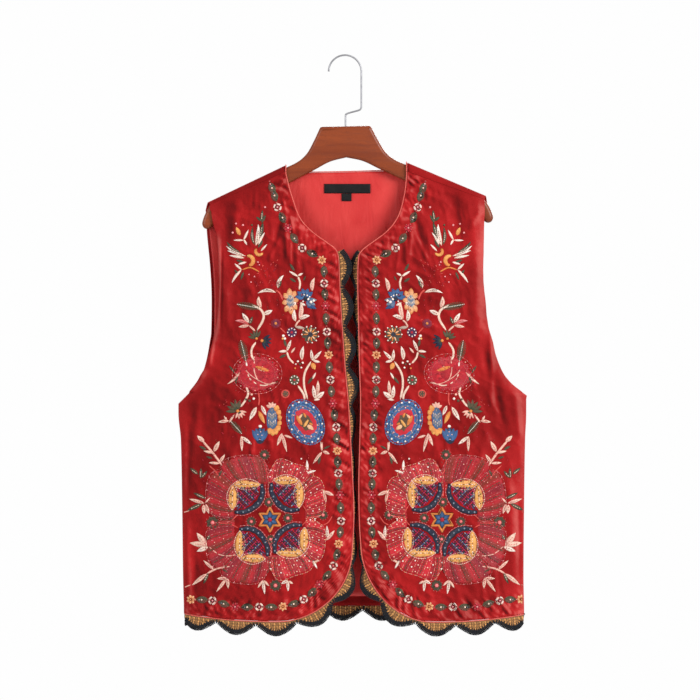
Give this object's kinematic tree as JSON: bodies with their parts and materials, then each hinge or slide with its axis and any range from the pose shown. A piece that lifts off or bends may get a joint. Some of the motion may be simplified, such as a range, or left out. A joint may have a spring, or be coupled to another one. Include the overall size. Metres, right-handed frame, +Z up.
{
  "type": "embroidered folk vest on a wooden hanger",
  "caption": "Sleeveless velvet vest with floral embroidery and scalloped crochet edging, open down the front, hanging on a flat wooden hanger with a wire hook.",
  "frame": {"origin": "the inner crest of the hook, where a rail or wall hook holds it", "axes": "+Z up along the hanging garment, -Y out of the garment's front, +X to the wearer's left (the viewer's right, seen from the front)"},
  "size_m": [0.508, 0.0545, 0.8461],
  "materials": {
    "velvet_red": "cotton velvet with embroidery, soft sheen",
    "lining_coral": "plain woven lining, low sheen",
    "piping_coral": "rolled cord",
    "crochet_gold": "crochet yarn, gold with a navy border",
    "label_black": "woven tape, bare",
    "stained_wood": "mahogany stain, satin",
    "plated_wire": "plated steel wire"
  },
  "bodies": {
    "root": {"hanger_body": "stained_wood", "hanger_hook": "plated_wire", "back_panel": "velvet_red", "back_lining": "lining_coral", "front_right": "velvet_red", "front_left": "velvet_red", "front_right_piping": "piping_coral", "front_left_piping": "piping_coral", "back_neck_piping": "piping_coral", "front_right_edging": "crochet_gold", "front_left_edging": "crochet_gold", "back_edging": "crochet_gold", "neck_label": "label_black", "size_tab": "label_black"}
  },
  "joints": []
}
